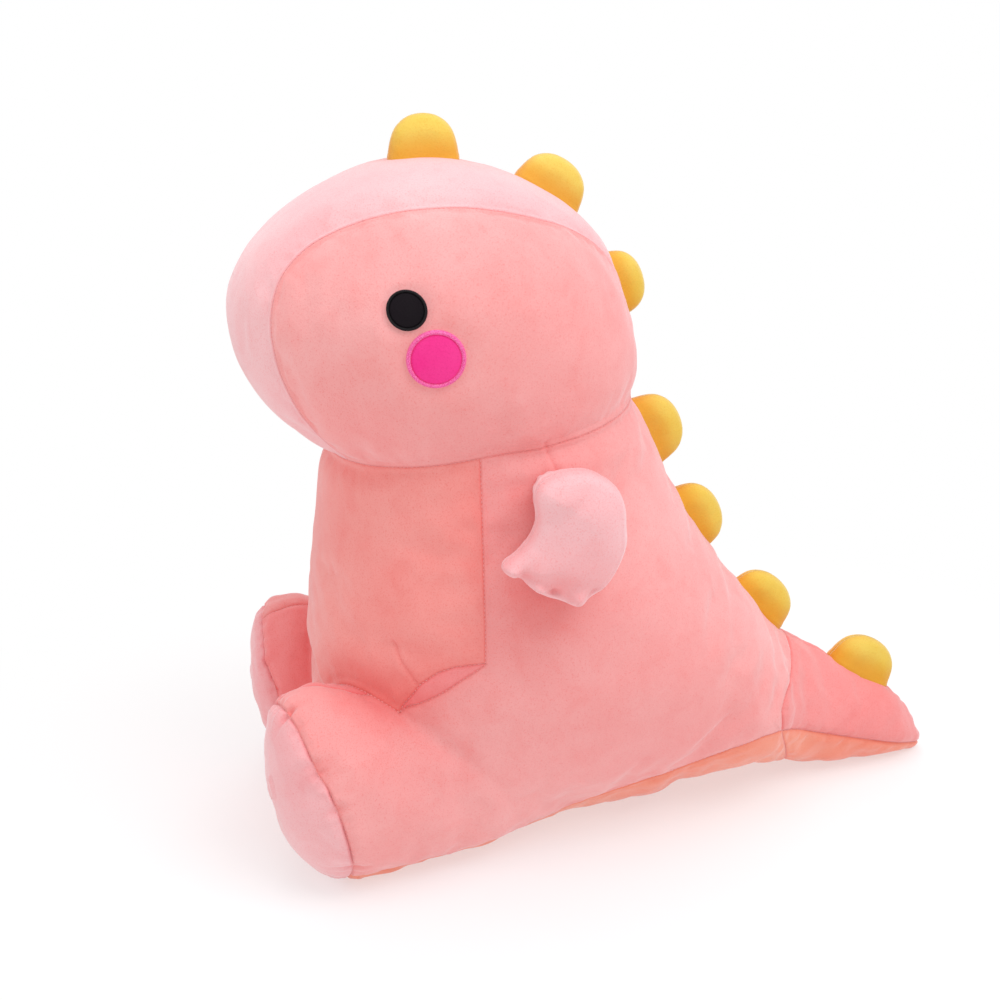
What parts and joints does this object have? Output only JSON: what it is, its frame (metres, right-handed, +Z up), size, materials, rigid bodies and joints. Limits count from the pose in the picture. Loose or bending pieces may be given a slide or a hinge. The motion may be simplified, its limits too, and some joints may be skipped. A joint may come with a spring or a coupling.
{
  "type": "stuffed dinosaur",
  "caption": "Sitting stuffed dinosaur with a big round head, stubby clawed arms, a row of soft back spikes and a wagging tail; it sits on a flat base.",
  "frame": {"origin": "on the floor under the middle of the toy's length and width", "axes": "+X to the toy's left, +Y from its face to its tail tip, +Z up"},
  "size_m": [0.4132, 0.6326, 0.5967],
  "materials": {
    "pink_plush": "short-pile pink velvet plush, brushed, lighter where the pile catches light",
    "spike_plush": "short-pile yellow velvet plush",
    "eye_felt": "flat black-brown applique cloth",
    "eye_thread": "black satin-stitched edge thread",
    "cheek_felt": "bright pink applique velvet",
    "cheek_thread": "pink satin-stitched edge thread with a slight shine",
    "filling": "loose white polyester fibre filling"
  },
  "bodies": {
    "torso": {"head_gusset": "pink_plush", "head_side_left": "pink_plush", "head_side_right": "pink_plush", "belly_panel": "pink_plush", "body_side_left": "pink_plush", "body_side_right": "pink_plush", "inner_leg_left": "pink_plush", "inner_leg_right": "pink_plush", "sole_left": "pink_plush", "sole_right": "pink_plush", "base_panel": "pink_plush", "eye_left": "eye_felt", "eye_right": "eye_felt", "eye_edging_left": "eye_thread", "eye_edging_right": "eye_thread", "blush_left": "cheek_felt", "blush_right": "cheek_felt", "blush_edging_left": "cheek_thread", "blush_edging_right": "cheek_thread", "head_filling": "filling", "body_filling": "filling"},
    "tail": {"tail_side_left": "pink_plush", "tail_side_right": "pink_plush", "tail_underside": "pink_plush", "tail_filling": "filling"},
    "arm_left": {"arm_outer_left": "pink_plush", "arm_inner_left": "pink_plush", "arm_filling_left": "filling"},
    "arm_right": {"arm_outer_right": "pink_plush", "arm_inner_right": "pink_plush", "arm_filling_right": "filling"},
    "spike_1": {"spike_cover_1": "spike_plush", "spike_filling_1": "filling"},
    "spike_2": {"spike_cover_2": "spike_plush", "spike_filling_2": "filling"},
    "spike_3": {"spike_cover_3": "spike_plush", "spike_filling_3": "filling"},
    "spike_4": {"spike_cover_4": "spike_plush", "spike_filling_4": "filling"},
    "spike_5": {"spike_cover_5": "spike_plush", "spike_filling_5": "filling"},
    "spike_6": {"spike_cover_6": "spike_plush", "spike_filling_6": "filling"},
    "spike_7": {"spike_cover_7": "spike_plush", "spike_filling_7": "filling"}
  },
  "joints": [
    {"name": "tail_wag", "type": "hinge", "parent": "torso", "child": "tail", "pos_m": [0, 0.187, 0.08], "axis": [0, 0, 1], "range_deg": [-12, 12], "stiffness_Nm_per_rad": 2},
    {"name": "arm_left_swing", "type": "hinge", "parent": "torso", "child": "arm_left", "pos_m": [0.1475, -0.094, 0.325], "axis": [0, 0, 1], "range_deg": [-30, 20], "stiffness_Nm_per_rad": 0.1},
    {"name": "arm_right_swing", "type": "hinge", "parent": "torso", "child": "arm_right", "pos_m": [-0.1475, -0.094, 0.325], "axis": [0, 0, -1], "range_deg": [-30, 20], "stiffness_Nm_per_rad": 0.1},
    {"name": "spike_1_flop", "type": "hinge", "parent": "torso", "child": "spike_1", "pos_m": [0, -0.1595, 0.5657], "axis": [0, 1, 0], "range_deg": [-20, 20], "stiffness_Nm_per_rad": 0.05},
    {"name": "spike_2_flop", "type": "hinge", "parent": "torso", "child": "spike_2", "pos_m": [0, -0.05617, 0.53736], "axis": [0, 0.8387, -0.5446], "range_deg": [-20, 20], "stiffness_Nm_per_rad": 0.05},
    {"name": "spike_3_flop", "type": "hinge", "parent": "torso", "child": "spike_3", "pos_m": [0, 0.00389, 0.45778], "axis": [0, 0.342, -0.9397], "range_deg": [-20, 20], "stiffness_Nm_per_rad": 0.05},
    {"name": "spike_4_flop", "type": "hinge", "parent": "torso", "child": "spike_4", "pos_m": [0, 0.03521, 0.3312], "axis": [0, 0.4226, -0.9063], "range_deg": [-20, 20], "stiffness_Nm_per_rad": 0.05},
    {"name": "spike_5_flop", "type": "hinge", "parent": "torso", "child": "spike_5", "pos_m": [0, 0.07659, 0.24944], "axis": [0, 0.4695, -0.8829], "range_deg": [-20, 20], "stiffness_Nm_per_rad": 0.05},
    {"name": "spike_6_flop", "type": "hinge", "parent": "torso", "child": "spike_6", "pos_m": [0, 0.14555, 0.1648], "axis": [0, 0.7314, -0.682], "range_deg": [-20, 20], "stiffness_Nm_per_rad": 0.05},
    {"name": "spike_7_flop", "type": "hinge", "parent": "tail", "child": "spike_7", "pos_m": [0, 0.25068, 0.09096], "axis": [0, 0.8572, -0.515], "range_deg": [-20, 20], "stiffness_Nm_per_rad": 0.05}
  ]
}
